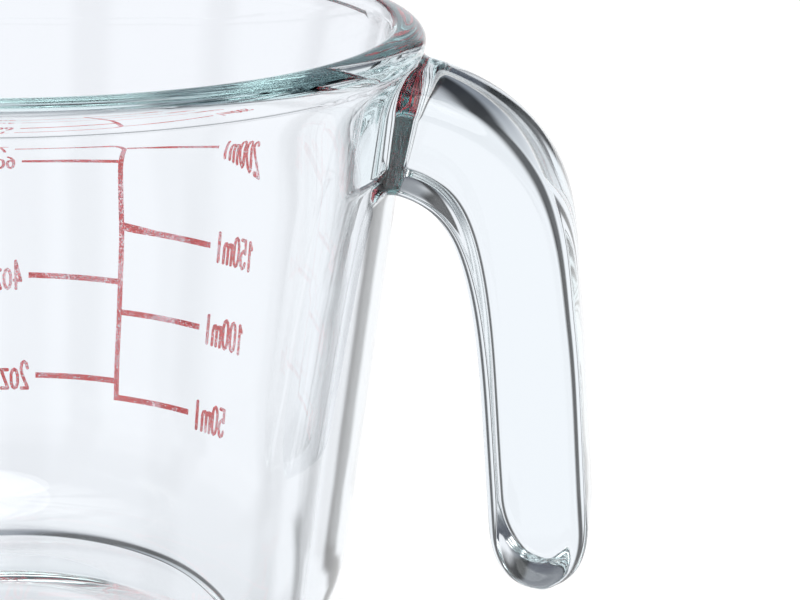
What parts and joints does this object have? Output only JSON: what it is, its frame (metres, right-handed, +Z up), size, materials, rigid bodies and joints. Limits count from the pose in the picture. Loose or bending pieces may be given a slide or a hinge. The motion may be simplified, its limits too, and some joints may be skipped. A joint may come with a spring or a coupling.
{
  "type": "measuring jug",
  "caption": "Clear pressed-glass measuring jug with a tapering round bowl, pouring spout, open hook handle and a fired red volume scale.",
  "frame": {"origin": "centre of the foot ring, on the table", "axes": "+Z up along the bowl's axis, handle towards +X, spout towards -X, scale on the +Y side"},
  "size_m": [0.1211, 0.094, 0.076],
  "materials": {
    "glass": "clear pressed glass, polished",
    "enamel": "fired red enamel"
  },
  "bodies": {
    "root": {"glass_jug": "glass", "spine": "enamel", "mark_50ml": "enamel", "mark_100ml": "enamel", "mark_150ml": "enamel", "mark_200ml": "enamel", "mark_2oz": "enamel", "mark_4oz": "enamel", "mark_6oz": "enamel", "mark_7oz": "enamel", "label_50ml": "enamel", "label_100ml": "enamel", "label_150ml": "enamel", "label_200ml": "enamel", "label_2oz": "enamel", "label_4oz": "enamel", "label_6oz": "enamel", "label_7oz": "enamel"}
  },
  "joints": []
}
